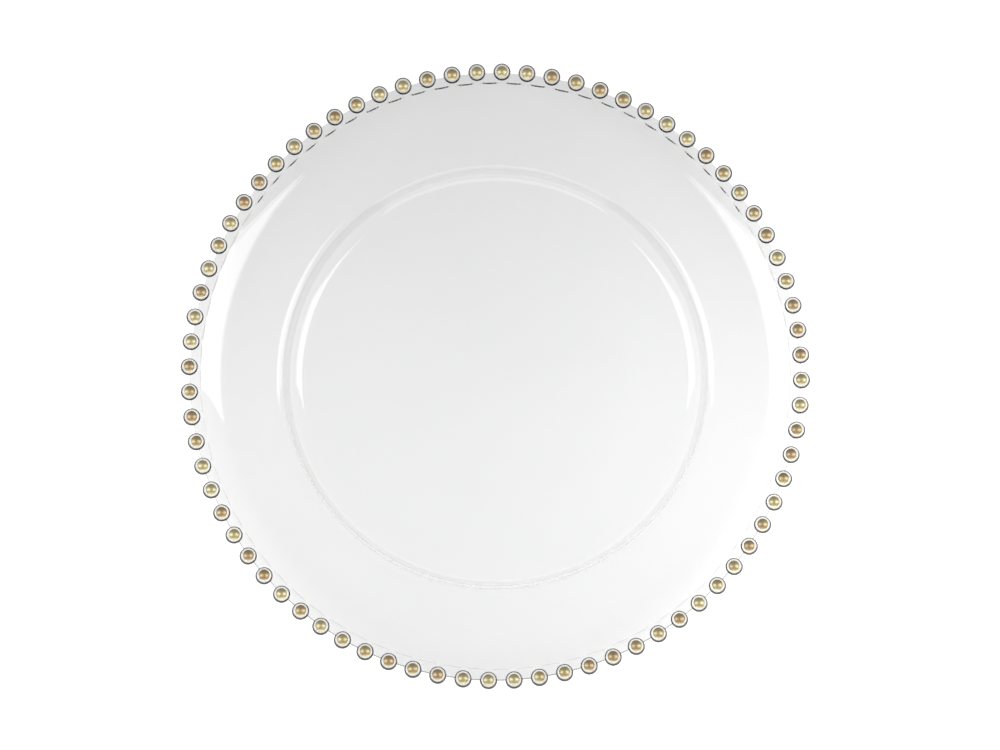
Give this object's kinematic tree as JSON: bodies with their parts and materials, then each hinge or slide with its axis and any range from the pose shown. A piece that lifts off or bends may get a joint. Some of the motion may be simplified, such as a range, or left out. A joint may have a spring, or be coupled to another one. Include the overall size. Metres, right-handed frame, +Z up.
{
  "type": "charger plate",
  "caption": "Round clear-glass charger plate with a flat well, a broad rim, an upturned lip and a row of gilt-capped glass beads along its edge.",
  "frame": {"origin": "middle of the flat base, on the plane that the plate stands on", "axes": "+Z up along the plate's axis, +X to the right and +Y to the top of the picture"},
  "size_m": [0.33, 0.33, 0.0274],
  "materials": {
    "clear_glass": "clear, fire-polished",
    "bead_glass": "clear, fire-polished",
    "gilt": "bright pale gold"
  },
  "bodies": {
    "root": {"plate_body": "clear_glass", "glass_beads": "bead_glass", "gilt_caps": "gilt"}
  },
  "joints": []
}
